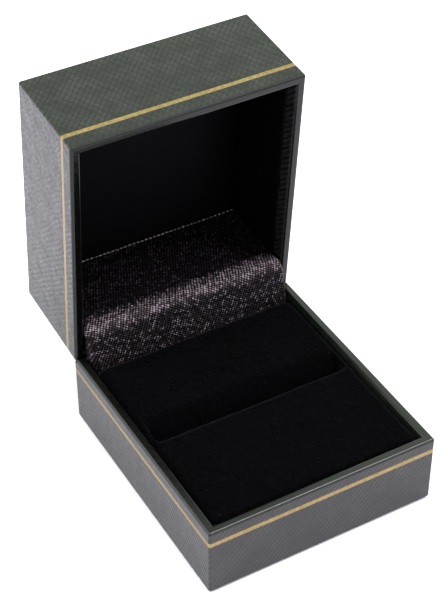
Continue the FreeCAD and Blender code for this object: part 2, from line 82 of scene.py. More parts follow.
class Finish:
    """A material and short ways to add the nodes of its pattern."""

    def __init__(self, name, color=None, roughness=0.5, **sockets):
        self.material = bpy.data.materials.new(name)
        self.material.use_nodes = True
        self.tree = self.material.node_tree
        self.shader = self.tree.nodes["Principled BSDF"]
        self.shader.inputs["Roughness"].default_value = roughness
        if color:
            self.shader.inputs["Base Color"].default_value = (*color, 1.0)
        for socket, value in sockets.items():
            self.shader.inputs[socket.replace("_", " ")].default_value = value

    def add(self, kind, inputs=None, **settings):
        made = self.tree.nodes.new(kind)
        for name, value in settings.items():
            setattr(made, name, value)
        for name, value in (inputs or {}).items():
            self.feed(made.inputs[name], value)
        return made

    def feed(self, socket, value):
        if isinstance(value, bpy.types.NodeSocket):
            self.tree.links.new(value, socket)
        elif isinstance(value, bpy.types.Node):
            self.tree.links.new(value.outputs[0], socket)
        else:
            socket.default_value = value

    def math(self, operation, *values, clamp=False):
        made = self.add("ShaderNodeMath", operation=operation, use_clamp=clamp)
        for number, value in enumerate(values):
            self.feed(made.inputs[number], value)
        return made.outputs[0]

    def mix(self, factor, first, second):
        made = self.add("ShaderNodeMix", data_type="RGBA")
        self.feed(made.inputs[0], factor)
        for number, color in ((6, first), (7, second)):
            is_color = isinstance(color, tuple)
            self.feed(made.inputs[number], (*color, 1.0) if is_color else color)
        return made.outputs[2]

    def level(self, value, low, high, out_low=0.0, out_high=1.0):
        """A value stretched from one range to another, smoothly, and held at its ends."""
        inputs = {
            "Value": value,
            "From Min": low,
            "From Max": high,
            "To Min": out_low,
            "To Max": out_high,
        }
        kind = "ShaderNodeMapRange"
        return self.add(kind, inputs, interpolation_type="SMOOTHSTEP").outputs[0]

    def noise(self, vector, scale, detail=2.0, roughness=0.5, distortion=0.0):
        inputs = {
            "Vector": vector,
            "Scale": scale,
            "Detail": detail,
            "Roughness": roughness,
            "Distortion": distortion,
        }
        return self.add("ShaderNodeTexNoise", inputs).outputs[0]

    def millimetres(self, shut=False):
        """Coordinates in millimetres that stay on the piece, turned as the lid stands shut."""
        place = self.add("ShaderNodeTexCoord").outputs["Object"]
        inputs = {"Vector": place, "Scale": (PER_M, PER_M, PER_M)}
        if shut:
            inputs["Rotation"] = (OPEN_ANGLE, 0.0, 0.0)
            inputs["Location"] = SHUT.to_translation()
        return self.add("ShaderNodeMapping", inputs).outputs[0]

    def cloth(self):
        """Coordinates in millimetres along a cloth, as it was cut."""
        place = self.add("ShaderNodeUVMap", uv_map="UVMap").outputs[0]
        scale = (PER_M / UV_PER_M, PER_M / UV_PER_M, 1.0)
        return self.add("ShaderNodeMapping", {"Vector": place, "Scale": scale}).outputs[0]

    def split(self, vector):
        return self.add("ShaderNodeSeparateXYZ", {"Vector": vector}).outputs

    def bump(self, height, strength, distance):
        """Raise the surface by a height from 0 to 1 times a distance in millimetres."""
        inputs = {"Height": height, "Strength": strength, "Distance": distance * MM}
        self.feed(self.shader.inputs["Normal"], self.add("ShaderNodeBump", inputs))

    def color(self, value):
        self.feed(self.shader.inputs["Base Color"], value)

    def rough(self, value):
        self.feed(self.shader.inputs["Roughness"], value)


UV_PER_M = 10.0  # a cloth's UV square is 100 mm on a side


def ridges(finish, place, pitch):
    """Even ridges a pitch apart, from 0 in the grooves to 1 on their tops."""
    wave = finish.math("SINE", finish.math("MULTIPLY", place, math.pi / pitch))
    return finish.math("ABSOLUTE", wave)


# the two directions of the crosshatch, in degrees from level, and their pitches in millimetres
HATCH = ((47.0, 0.96), (-62.0, 1.4))
FIRST_SHARE = 0.50
FIRST_SHARE_ON_SIDES = 0.95
SECOND_SHARE = 0.16
WEAVE_SHARE = 0.10
SECOND_LEFT_ON_SIDES = 0.2
WORN = 0.4  # how far from an edge the wear reaches, in millimetres
NEARLY_BLACK = ((0.0004, 0.0005, 0.0005), (0.0010, 0.0012, 0.0010))
# painted highlight: the pale tone of the grain's ridge tops
PAINTED_LIT_RIDGE_TOPS = (0.0150, 0.0165, 0.0150)
MOTTLED = (0.003, 0.0033, 0.003)
RUBBED_PALE = (0.12, 0.13, 0.11)


def leatherette(name, node, gloss, depth, shut):
    """Black paper leatherette with a diagonal crosshatch pressed into it, depth millimetres deep."""
    finish = Finish(name, roughness=0.3, Specular_IOR_Level=gloss, IOR=1.5)
    place = finish.millimetres(shut)
    x, y, z = finish.split(place)
    normal = finish.add("ShaderNodeTexCoord").outputs["Normal"]
    if shut:
        turn = {"Vector": normal, "Rotation": (OPEN_ANGLE, 0.0, 0.0)}
        normal = finish.add("ShaderNodeMapping", turn).outputs[0]
    facing_up = finish.math("ABSOLUTE", finish.split(normal)[2])
    level = finish.math("GREATER_THAN", facing_up, 0.75)

    wander = finish.math("MULTIPLY", finish.noise(place, 0.35, 3.0), 0.75)
    along = finish.math("ADD", finish.math("ADD", x, y), wander)
    across = finish.math("ADD", finish.math("SUBTRACT", x, y), wander)
    on_walls = finish.math("MULTIPLY", finish.math("SUBTRACT", 1.0, level), along)
    crossing = finish.math("MULTIPLY_ADD", level, across, on_walls)
    bold, fine = [], []
    for run, (lean, pitch) in zip((crossing, along), HATCH):
        turn = math.radians(lean)
        rise = finish.math("MULTIPLY", z, -math.cos(turn))
        measure = finish.math("MULTIPLY_ADD", run, math.sin(turn), rise)
        bold.append(ridges(finish, measure, pitch))
        fine.append(ridges(finish, measure, pitch / 2))
    # on the side walls the first direction is the deeper one and the second hardly shows
    sideways = finish.math("ABSOLUTE", finish.split(normal)[0])
    weave = finish.math("MULTIPLY", finish.math("MULTIPLY", *fine), WEAVE_SHARE)
    crossed = finish.math("MULTIPLY_ADD", bold[1], SECOND_SHARE, weave)
    fading = finish.level(sideways, 0.3, 0.9, 1.0, SECOND_LEFT_ON_SIDES)
    crossed = finish.math("MULTIPLY", crossed, fading)
    first_share = finish.level(sideways, 0.3, 0.9, FIRST_SHARE, FIRST_SHARE_ON_SIDES)
    grain = finish.math("MULTIPLY_ADD", bold[0], first_share, crossed)
    # it is pressed nearly smooth where it is turned in over the rim; there the grain's pale ridge tops
    # fade, so the rim is also painted darker, as painted shade
    low, high = span_of(node, SHUT if shut else UNTURNED)
    rim = low.z if shut else high.z
    from_rim = finish.math("ABSOLUTE", finish.math("SUBTRACT", z, rim))
    rim_pressed_smooth_and_painted_dark = finish.level(from_rim, 0.2, 0.7, 0.02)
    stamped = finish.level(finish.noise(place, 0.22, 3.0), 0.3, 0.7, 0.6, 1.5)
    grain = finish.math("MULTIPLY", grain, finish.math("MULTIPLY", rim_pressed_smooth_and_painted_dark, stamped))
    mottle = finish.noise(place, 0.9, 4.0, 0.6)
    patch = finish.noise(place, 0.06, 2.0)

    # the leatherette is worn pale along its corners and its outermost edges
    half_width, half_depth = high.x, (high.y - low.y) / 2
    middle = (high.y + low.y) / 2
    at_side = finish.level(finish.math("ABSOLUTE", x), half_width - WORN, half_width)
    from_middle = finish.math("ABSOLUTE", finish.math("SUBTRACT", y, middle))
    at_end = finish.level(from_middle, half_depth - WORN, half_depth)
    at_top = finish.level(z, high.z - WORN, high.z)
    at_foot = finish.level(z, low.z + WORN, low.z)
    at_level = at_top if shut else finish.math("MAXIMUM", at_top, at_foot)
    corner = finish.math("MULTIPLY", at_side, at_end)
    edge = finish.math("MULTIPLY", finish.math("MAXIMUM", at_side, at_end), at_level)
    rubbed = finish.math("MAXIMUM", corner, edge)
    broken = finish.level(finish.noise(place, 1.6, 4.0, 0.7), 0.45, 0.75)
    wear = finish.math("MULTIPLY", rubbed, broken, clamp=True)
    if shut:
        wear = finish.math("MAXIMUM", wear, scuffs(finish, place, low.y, broken))
    dark = finish.mix(patch, *NEARLY_BLACK)
    # painted light and shade: the grain's ridge tops are painted paler than its grooves, standing in for
    # the light on its relief
    grain_painted_light_and_shade = finish.mix(grain, dark, PAINTED_LIT_RIDGE_TOPS)
    mottled = finish.mix(finish.math("MULTIPLY", mottle, 0.35), grain_painted_light_and_shade, MOTTLED)
    finish.color(finish.mix(finish.math("MULTIPLY", wear, 0.4), mottled, RUBBED_PALE))
    smooth = finish.level(mottle, 0.2, 0.8, 0.26, 0.38)
    rough = finish.math("MULTIPLY_ADD", wear, 0.2, smooth)
    relief = finish.math("MULTIPLY_ADD", finish.math("MULTIPLY", mottle, rim_pressed_smooth_and_painted_dark), 0.45, grain)
    if shut:
        # the lid's rim is dull along its edge and polished on its face
        near_rim = finish.level(from_rim, 1.0, 0.5)
        turned_in = finish.math("MULTIPLY_ADD", level, -0.45, 0.3)
        rough = finish.math("MULTIPLY_ADD", near_rim, turned_in, rough)
    finish.rough(rough)
    finish.bump(relief, 1.0, depth)
    return finish.material


# scuffs on the lid's front wall: across and up in millimetres with the lid shut, and their size
SCUFFS = (
    (17.6, 34.5, 0.5),
    (18.6, 34.6, 0.7),
    (19.6, 34.4, 0.5),
    (20.7, 33.8, 0.35),
    (22.4, 27.9, 0.5),
    (-7.5, 30.5, 0.4),
    (-18.2, 36.2, 0.6),
)


def scuffs(finish, place, front, broken):
    """A mask of the pale scuffs on the lid's front wall."""
    x, y, z = finish.split(place)
    on_front = finish.math("LESS_THAN", y, front + 0.5)
    flat = finish.add("ShaderNodeCombineXYZ", {"X": x, "Y": z})
    found = None
    for across, up, size in SCUFFS:
        ends = {0: flat, 1: (across, up, 0.0)}
        away = finish.add("ShaderNodeVectorMath", ends, operation="DISTANCE").outputs["Value"]
        near = finish.level(away, size, size * 0.3)
        found = near if found is None else finish.math("MAXIMUM", found, near)
    return finish.math("MULTIPLY", finish.math("MULTIPLY", found, on_front), broken)


def gold_foil(name):
    """Stamped gold foil, mottled in tone, with a faint bump of its own."""
    finish = Finish(name, roughness=0.38, Metallic=0.8, Specular_IOR_Level=0.5)
    place = finish.millimetres()
    mottle = finish.noise(place, 2.2, 4.0, 0.65)
    tone = finish.level(mottle, 0.3, 0.75)
    finish.color(finish.mix(tone, (0.20, 0.135, 0.048), (0.33, 0.245, 0.11)))
    finish.rough(finish.level(mottle, 0.2, 0.8, 0.3, 0.5))
    finish.bump(finish.noise(place, 3.0, 3.0), 0.5, 0.03)
    return finish.material


# the directions of the satin's dot rows, in degrees from its width, and their pitches
WEAVE = ((116.0, 0.56), (33.0, 0.43))
# painted highlight and painted shade on the satin cover's dots: before the ridge, on it, and beyond it
# inside the lid
PAINTED_GLOW_BEFORE_RIDGE = 0.6
PAINTED_HIGHLIGHT_ON_RIDGE = (3.6, 6.2)
PAINTED_GLOW_LEFT_IN_LID_SHADE = 0.025


def satin(name, ground, painted_glint, gloss, tint, ridge_at=None):
    """Black satin: each float of the weave is a dot, painted pale as a painted glint, and here and there
    a dot is painted brighter as a painted sparkle.
    """
    finish = Finish(name, Specular_IOR_Level=gloss, Specular_Tint=(*tint, 1.0))
    place = finish.cloth()
    slack = finish.add("ShaderNodeTexNoise", {"Vector": place, "Scale": 0.25, "Detail": 2.0})
    pulled = finish.add(
        "ShaderNodeVectorMath", {0: slack.outputs["Color"], "Scale": 0.5}, operation="SCALE"
    )
    moved = finish.add("ShaderNodeVectorMath", {0: place, 1: pulled.outputs[0]}, operation="ADD")
    across, up, _ = finish.split(moved.outputs[0])
    threads = []
    for angle, pitch in WEAVE:
        turn = math.radians(angle)
        along_x = finish.math("MULTIPLY", across, -math.sin(turn))
        measure = finish.math("MULTIPLY_ADD", up, math.cos(turn), along_x)
        threads.append(ridges(finish, measure, pitch))
    dot = finish.math("POWER", finish.math("MULTIPLY", *threads), 2.8)
    cells = finish.add("ShaderNodeTexVoronoi", {"Vector": moved.outputs[0], "Scale": 2.1})
    chance = finish.split(cells.outputs["Color"])[0]
    uneven = finish.level(chance, 0.1, 1.0, 0.08, 0.45)
    # painted sparkle: some dots are painted brighter still, standing in for floats that catch the light
    painted_sparkle = finish.level(chance, 0.72, 0.95, 0.0, 1.6)
    painted_dot_glint = finish.math("MULTIPLY", dot, finish.math("ADD", uneven, painted_sparkle))
    if ridge_at:
        # painted highlight: the dots are painted paler along the ridge, where the stretched floats would
        # shine, and painted shade: beyond it, inside the lid, they are painted darker
        painted_ridge_highlight = finish.level(finish.noise(place, 0.16, 3.0), 0.3, 0.7, *PAINTED_HIGHLIGHT_ON_RIDGE)
        rising = finish.level(up, ridge_at - 0.9, ridge_at + 1.1)
        extra = finish.math("SUBTRACT", painted_ridge_highlight, PAINTED_GLOW_BEFORE_RIDGE)
        painted_ridge_glow = finish.math("MULTIPLY_ADD", rising, extra, PAINTED_GLOW_BEFORE_RIDGE)
        painted_lid_shade = finish.level(up, ridge_at + 1.5, ridge_at + 4.7, 1.0, PAINTED_GLOW_LEFT_IN_LID_SHADE)
        painted_dot_glint = finish.math("MULTIPLY", finish.math("MULTIPLY", painted_dot_glint, painted_ridge_glow), painted_lid_shade)
    finish.color(finish.mix(painted_dot_glint, ground, painted_glint))
    finish.rough(finish.level(painted_dot_glint, 0.0, 1.0, 0.55, 0.30))
    finish.bump(finish.math("MULTIPLY_ADD", uneven, 0.5, dot), 0.9, 0.06)
    return finish.material


def velvet(name):
    """Black velvet: a deep, short pile that is pale only where it is seen along the surface."""
    finish = Finish(
        name,
        roughness=0.95,
        Specular_IOR_Level=0.012,
        Sheen_Weight=0.10,
        Sheen_Roughness=0.25,
        Sheen_Tint=(0.42, 0.38, 0.46, 1.0),
    )
    place = finish.millimetres()
    pile = finish.noise(place, 2.0, 4.0, 0.75)
    brushed = finish.noise(place, 0.22, 3.0, 0.55, 0.4)
    ground = finish.mix(brushed, (0.0002, 0.0002, 0.0003), (0.0006, 0.0005, 0.0008))
    tipped = finish.mix(finish.level(pile, 0.42, 0.68), ground, (0.0014, 0.0011, 0.0019))
    specks = finish.add("ShaderNodeTexVoronoi", {"Vector": place, "Scale": 0.42}).outputs[0]
    lint = finish.level(specks, 0.075, 0.045, 0.0, 0.5)
    finish.color(finish.mix(lint, tipped, (0.02, 0.019, 0.021)))
    finish.bump(pile, 1.0, 0.3)
    return finish.material


def pressed_card(name, dark, pale, shut=False):
    """Flat card or flocked paper: short fibres in two tones."""
    finish = Finish(name, roughness=0.9, Specular_IOR_Level=0.2)
    place = finish.millimetres(shut)
    fibres = finish.noise(place, 2.4, 5.0, 0.75, 0.8)
    finish.color(finish.mix(finish.level(fibres, 0.3, 0.7), dark, pale))
    finish.bump(fibres, 0.5, 0.08)
    return finish.material


def foam(name, color):
    """Open-celled foam or wadding."""
    finish = Finish(name, roughness=0.95, Specular_IOR_Level=0.1)
    place = finish.millimetres()
    cells = finish.add("ShaderNodeTexVoronoi", {"Vector": place, "Scale": 1.6}).outputs[0]
    shade = tuple(channel * 0.35 for channel in color)
    finish.color(finish.mix(finish.level(cells, 0.0, 0.7), color, shade))
    finish.bump(cells, 0.9, 0.3)
    return finish.material


def steel(name, color, roughness):
    """Plated or blued steel, faintly brushed along the hinge and mottled by handling."""
    finish = Finish(name, Metallic=1.0, roughness=roughness)
    place = finish.millimetres()
    drawn = finish.add("ShaderNodeMapping", {"Vector": place, "Scale": (0.15, 3.0, 3.0)})
    lines = finish.noise(drawn.outputs[0], 2.0, 4.0, 0.6)
    stain = finish.noise(place, 0.5, 3.0)
    dull = tuple(channel * 0.55 for channel in color)
    finish.color(finish.mix(finish.level(stain, 0.35, 0.75), color, dull))
    finish.rough(finish.level(lines, 0.2, 0.8, roughness * 0.7, roughness * 1.4))
    finish.bump(lines, 0.3, 0.02)
    return finish.material


def moulded(name):
    """Black moulded plastic with a fine spark-eroded texture."""
    finish = Finish(name, roughness=0.5, Specular_IOR_Level=0.45)
    place = finish.millimetres()
    texture = finish.noise(place, 6.0, 3.0, 0.7)
    finish.color(finish.mix(texture, (0.012, 0.012, 0.013), (0.03, 0.03, 0.031)))
    finish.rough(finish.level(texture, 0.2, 0.8, 0.4, 0.6))
    finish.bump(texture, 0.4, 0.04)
    return finish.material


NODE_FINISHES = {
    "base_wrap": leatherette("base_leatherette", "base_wrap", gloss=0.385, depth=0.04, shut=False),
    "lid_wrap": leatherette("lid_leatherette", "lid_wrap", gloss=0.29, depth=0.14, shut=True),
    "base_shell": moulded("shell_plastic"),
    "base_bottom_panel": pressed_card("flocked_card", (0.006, 0.006, 0.007), (0.03, 0.03, 0.032)),
    "insert_card": pressed_card("grey_board", (0.20, 0.18, 0.15), (0.42, 0.39, 0.33)),
    "insert_foam_front": foam("black_foam", (0.03, 0.03, 0.032)),
    "hinge_pin": steel("plated_steel", (0.62, 0.61, 0.58), 0.3),
    "base_gold_line": gold_foil("gold_foil"),
}
for same, other in (
    ("lid_shell", "base_shell"),
    ("insert_foam_rear", "insert_foam_front"),
    ("hinge_leaf_base", "hinge_pin"),
    ("hinge_leaf_lid", "hinge_pin"),
    ("hinge_rivets_base", "hinge_pin"),
    ("hinge_rivets_lid", "hinge_pin"),
    ("lid_gold_line", "base_gold_line"),
    ("lid_pad_card", "insert_card"),
):
    NODE_FINISHES[same] = NODE_FINISHES[other]
for node, material in NODE_FINISHES.items():
    mesh = frame["nodes"][node].data
    mesh.materials.clear()
    mesh.materials.append(material)


# ---------------------------------------------------------------------------------------------
# geometry


def rounded_path(corners, radii, step):
    """Even points a step apart along straight runs whose corners are rounded to radii."""
    corners = [Vector(corner) for corner in corners]
    points = [corners[0]]
    for before, corner, after, radius in zip(corners, corners[1:], corners[2:], radii):
        back, onward = (before - corner).normalized(), (after - corner).normalized()
        half = back.angle(onward) / 2
        reach = radius / math.tan(half)
        centre = corner + (back + onward).normalized() * radius / math.sin(half)
        first, last = corner + back * reach - centre, corner + onward * reach - centre
        sweep = math.pi - 2 * half
        steps = max(4, math.ceil(radius * sweep / step * 2))
        for number in range(steps + 1):
            share = number / steps
            turned = first * math.sin((1 - share) * sweep) + last * math.sin(share * sweep)
            points.append(centre + turned / math.sin(sweep))
    points.append(corners[-1])
    return even_points(points, step)


def even_points(points, step):
    """The same line, with its points an even step apart."""
    places = np.array([tuple(point) for point in points])
    travelled = np.concatenate(([0.0], np.cumsum(np.linalg.norm(np.diff(places, axis=0), axis=1))))
    count = max(2, int(round(travelled[-1] / step)) + 1)
    wanted = np.linspace(0.0, travelled[-1], count)
    evened = np.stack([np.interp(wanted, travelled, places[:, axis]) for axis in range(places.shape[1])])
    return [Vector(point) for point in evened.T]


def length_of(points):
    return sum((b - a).length for a, b in zip(points, points[1:]))


def smooth_step(value, low, high):
    share = min(max((value - low) / (high - low), 0.0), 1.0)
    return share * share * (3 - 2 * share)


def measured(rows):
    """The distances along the middle row and the middle column of a grid of points."""
    row = rows[len(rows) // 2]
    column = [line[len(row) // 2] for line in rows]
    distances = []
    for line in (row, column):
        steps = [(b - a).length for a, b in zip(line, line[1:])]
        distances.append([sum(steps[:count]) for count in range(len(line))])
    return distances


def grid_piece(name, rows, turned=UNTURNED, thickness=0.0, offset=-1.0):
    """A piece of cloth or strip from rows of points in millimetres, with its UVs as it was cut."""
    height, width = len(rows), len(rows[0])
    vertices = [turned @ point * MM for row in rows for point in row]
    faces = [
        (r * width + c, r * width + c + 1, (r + 1) * width + c + 1, (r + 1) * width + c)
        for r in range(height - 1)
        for c in range(width - 1)
    ]
    mesh = bpy.data.meshes.new(name)
    mesh.from_pydata(vertices, [], faces)
    across, up = measured(rows)
    uvs = mesh.uv_layers.new(name="UVMap")
    for polygon in mesh.polygons:
        for loop in polygon.loop_indices:
            r, c = divmod(mesh.loops[loop].vertex_index, width)
            uvs.data[loop].uv = (across[c] * MM * UV_PER_M, up[r] * MM * UV_PER_M)
    piece = bpy.data.objects.new(name, mesh)
    bpy.context.scene.collection.objects.link(piece)
    if thickness:
        solid = piece.modifiers.new("Thickness", "SOLIDIFY")
        solid.thickness = thickness * MM
        solid.offset = offset
        edge = piece.modifiers.new("Edge", "BEVEL")
        edge.width = thickness * 0.3 * MM
        edge.segments = 2
        edge.limit_method = "ANGLE"
        edge.angle_limit = math.radians(60)
        apply_modifiers(piece)
    piece.data.shade_smooth()
    return piece


def apply_modifiers(piece):
    """Replace a piece's mesh by what its modifiers make of it."""
    view = bpy.context.evaluated_depsgraph_get()
    made = bpy.data.meshes.new_from_object(piece.evaluated_get(view))
    piece.modifiers.clear()
    piece.data = made


def dress(piece, body, slot, material, *replaced):
    """Finish a piece: its material, the body it rides on and the CAD nodes it stands for."""
    piece.data.materials.clear()
    piece.data.materials.append(material)
    if body:
        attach(piece, body)
    if replaced:
        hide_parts(*replaced)


def lumps(point, size, seed):
    """Smooth unevenness from -1 to 1, the same on every run."""
    return noise.noise(point / size + Vector((seed, seed * 0.37, seed * 0.71)))


# ---------------------------------------------------------------------------------------------
# the ring insert's velvet

SLOT_FRONT = -1.0
SLOT_BACK = -0.6
SLOT_END = 20.3  # half of the slot's length
SLOT_MIDDLE = 0.15
SLOT_DEEP = 6.0  # the height of the slot's bottom above the floor
ROLL = 6.4  # the radius at which the rear foam rolls down into the slot
LIP_ROUND = 0.95
CORNER = 1.8


def make_velvet():
    low, high = span_of("insert_velvet")
    edge = 1.2
    step = 0.34
    foot = low.z + 1.2
    top = high.z
    corners = (
        (low.y, foot),
        (low.y, top),
        (SLOT_FRONT, top),
        (SLOT_FRONT, SLOT_DEEP),
        (SLOT_BACK, SLOT_DEEP),
        (SLOT_BACK, top),
        (high.y, top),
        (high.y, foot),
    )
    radii = (edge, LIP_ROUND, 0.15, 0.15, ROLL, edge)
    profile = rounded_path(corners, radii, step)
    into_slot = min(i for i, p in enumerate(profile) if p.y < top - 0.01 and p.x > -5)
    out_of_slot = max(i for i, p in enumerate(profile) if p.y < top - 0.01 and p.x < high.y - edge)
    start, end = profile[into_slot].x, profile[out_of_slot].x

    across = rounded_path(
        ((low.x, top - edge), (low.x, top), (high.x, top), (high.x, top - edge)), (edge, edge), step
    )
    rows = []
    for number, point in enumerate(profile):
        in_slot = into_slot <= number <= out_of_slot
        share = (number - into_slot) / (out_of_slot - into_slot)
        row = []
        for side in across:
            y, z = point.x, point.y
            if in_slot:
                from_middle = abs(side.x - SLOT_MIDDLE)
                open_here = 1 - smooth_step(from_middle, SLOT_END - 0.25, SLOT_END + 0.3)
                y = y * open_here + (start + (end - start) * share) * (1 - open_here)
                z = z * open_here + top * (1 - open_here)
            place = soft_corner(Vector((side.x, y, z - (top - side.y))), low, high)
            place.z += pile_height(place)
            row.append(place)
        rows.append(row)
    # skirts hide the cut edges between the insert and the walls
    for row in rows:
        row.insert(0, Vector((row[0].x, row[0].y, foot)))
        row.append(Vector((row[-1].x, row[-1].y, foot)))
    piece = grid_piece("insert_velvet_pile", rows, thickness=0.45)
    dress(piece, "base", "velvet", velvet("black_velvet"), "insert_velvet")


def soft_corner(place, low, high):
    """Draw a point in where the insert's upright corners are rounded."""
    middle = (low + high) / 2
    past_x = abs(place.x - middle.x) - ((high.x - low.x) / 2 - CORNER)
    past_y = abs(place.y - middle.y) - ((high.y - low.y) / 2 - CORNER)
    if past_x <= 0 or past_y <= 0:
        return place
    drawn_in = 1 - max(past_x, past_y) / math.hypot(past_x, past_y)
    across = math.copysign(past_x * drawn_in, place.x - middle.x)
    along = math.copysign(past_y * drawn_in, place.y - middle.y)
    return place - Vector((across, along, 0))


def pile_height(place):
    """The pile's unevenness: slow waves of the foam, and fine tufts."""
    slow = lumps(place, 9.0, 3.1) * 0.10
    tufts = lumps(place, 1.3, 8.7) * 0.035
    return slow + tufts - 0.06


# ---------------------------------------------------------------------------------------------
# the satin over the hinge

COVER_STEP = 0.22


def make_hinge_cover():
    """One satin cover, glued in the base behind the insert and in the lid under the pad."""
    low, _ = span_of("hinge_cover_satin")
    lid_low, lid_high = span_of("hinge_cover_satin_lid", SHUT)
    ridge = OPENED @ Vector((0, lid_low.y, PIVOT.z - 0.65))
    tuck = OPENED @ Vector((0, lid_low.y, lid_high.z - 0.05))
    knee = 13.2
    corners = ((low.y, low.z), (low.y, knee), (ridge.y, ridge.z), (tuck.y, tuck.z))
    path = rounded_path(corners, (2.2, 2.5), COVER_STEP)
    total = length_of(path)
    at_ridge = min(range(len(path)), key=lambda i: (path[i] - Vector((ridge.y, ridge.z))).length)
    to_ridge = length_of(path[: at_ridge + 1])
    rows = []
    travelled = 0.0
    for number, point in enumerate(path):
        if number:
            travelled += (point - path[number - 1]).length
        ahead = path[min(number + 1, len(path) - 1)] - path[max(number - 1, 0)]
        outward = Vector((0, -ahead.y, ahead.x)).normalized()
        rows.append(cover_row(point, outward, travelled, to_ridge, total))
    piece = grid_piece("hinge_satin_cover", rows, thickness=0.3)
    hem = make_hem(rows[-1])
    dotted = satin(
        "dotted_satin",
        ground=(0.0005, 0.0003, 0.0006),
        painted_glint=(0.225, 0.172, 0.220),
        gloss=0.07,
        tint=(1.0, 0.8, 0.92),
        ridge_at=to_ridge,
    )
    dress(piece, None, "hinge_satin", dotted, "hinge_cover_satin", "hinge_cover_satin_lid")
    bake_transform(piece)


SHOULDER = 0.8  # the radius at which the satin turns under at its two ends


def cover_row(point, outward, travelled, to_ridge, total):
    """One line of the satin from end to end, with its ends turned under towards the hinge."""
    near_ridge = 1 - smooth_step(abs(travelled - to_ridge), 1.0, 5.0)
    on_front = smooth_step(travelled, 3.0, 7.0) * (1 - smooth_step(travelled, to_ridge, to_ridge + 3))
    reach = 21.3 + 0.42 * on_front
    depth = 2.3 - 1.1 * near_ridge
    flat = reach - SHOULDER
    right = [(flat * share, 0.0) for share in np.linspace(0, 1, int(21 / COVER_STEP))]
    for turn in np.linspace(0, math.pi / 2, 7)[1:]:
        right.append((flat + SHOULDER * math.sin(turn), SHOULDER * (1 - math.cos(turn))))
    for down in np.linspace(0, depth - SHOULDER, 6)[1:]:
        right.append((reach, SHOULDER + down))
    line = [(-x, down) for x, down in reversed(right[1:])] + right
    row = []
    for x, down in reversed(line):
        swell = cover_swell(x, travelled, to_ridge, total) * (1 - smooth_step(down, 0.2, 1.2))
        row.append(Vector((x, point.x, point.y)) + outward * (swell - down))
    return row


def cover_swell(x, travelled, to_ridge, total):
    """How far the satin stands out of its straight runs."""
    front_face = math.sin(math.pi * min(max((travelled - 5.5) / (to_ridge - 5.5), 0), 1))
    lid_face = math.sin(math.pi * min(max((travelled - to_ridge) / (total - to_ridge), 0), 1))
    inward = 1 - smooth_step(abs(x), 17.5, 21.4)
    swell = front_face * (0.25 + 0.12 * inward) - lid_face * 0.3 * inward
    # the stuffing under the ridge is uneven, so the ridge rises and dips along its length
    near_ridge = math.exp(-(((travelled - to_ridge) / 2.2) ** 2))
    swell += near_ridge * (0.22 * lumps(Vector((x, 0, 3)), 7.0, 2.3) + 0.30 * math.cos(x / 14.0))
    drag = lumps(Vector((x * 0.5, travelled * 1.3 + x * 0.2, 2)), 3.6, 5.0)
    fine = lumps(Vector((x, travelled * 0.6, 5)), 1.3, 1.7)
    worked = smooth_step(travelled, 5.5, 9.0)
    return swell + (drag * 0.13 + fine * 0.04) * worked


HEM_STITCH = 0.95  # the length of one stitch
HEM_SIDES = 10


def make_hem(edge):
    """The stitched edge where the satin goes under the lid's pad."""
    rings = []
    inner = [point for point in edge if abs(point.x) < 20.9]
    for point in even_points(inner, 0.12):
        stitch = abs(math.sin(math.pi * point.x / HEM_STITCH))
        radius = 0.17 + 0.09 * stitch
        lift = 0.16 + 0.05 * lumps(point, 2.0, 4.0)
        ring = []
        for side in range(HEM_SIDES + 1):
            turn = 2 * math.pi * side / HEM_SIDES
            away = Vector((0, radius * math.cos(turn) - lift * 0.5, radius * math.sin(turn) + lift))
            ring.append(point + away)
        rings.append(ring)
    hem = grid_piece("hinge_satin_hem", rings)
    finish = Finish("hem_thread", roughness=0.3, Specular_IOR_Level=0.5)
    place = finish.millimetres()
    x, _, _ = finish.split(place)
    stitch = ridges(finish, x, HEM_STITCH)
    fibre = finish.noise(place, 3.0, 3.0, 0.7)
    # painted glint: the top of each stitch is painted pale, standing in for light caught along the hem
    painted_stitch_glint = finish.math("MULTIPLY", finish.math("POWER", stitch, 4.0), finish.level(fibre, 0.42, 0.62))
    finish.color(finish.mix(painted_stitch_glint, (0.010, 0.007, 0.009), (0.27, 0.21, 0.24)))
    finish.bump(fibre, 0.6, 0.05)
    dress(hem, "lid", "hinge_satin", finish.material)
    return hem


# ---------------------------------------------------------------------------------------------
# the snap spring

def make_spring():
    """The bowed strip between the two leaves, with its ends rounded off."""
    low, high = span_of("snap_spring")
    foot_y = low.y + 0.13
    path = rounded_path(
        ((foot_y, low.z), (foot_y, PIVOT.z + 4.6), (high.y, PIVOT.z + 2.0)), (1.2,), 0.3
    )
    total = length_of(path)
    half = (high.x - low.x) / 2
    rows = []
    travelled = 0.0
    for number, point in enumerate(path):
        if number:
            travelled += (point - path[number - 1]).length
        from_end = min(travelled, total - travelled)
        rounding = 1.5
        tuck = rounding - math.sqrt(max(rounding**2 - max(rounding - from_end, 0) ** 2, 0))
        waist = 0.9 * math.sin(math.pi * travelled / total)
        reach = half - tuck - waist
        rows.append([Vector((reach * c / 12, point.x, point.y)) for c in range(12, -13, -1)])
    piece = grid_piece("snap_spring_strip", rows, thickness=0.22, offset=0.0)
    dress(piece, None, "spring_steel", steel("blued_steel", (0.20, 0.21, 0.26), 0.32), "snap_spring")
    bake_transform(piece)


# ---------------------------------------------------------------------------------------------
# the lid's lining and pad


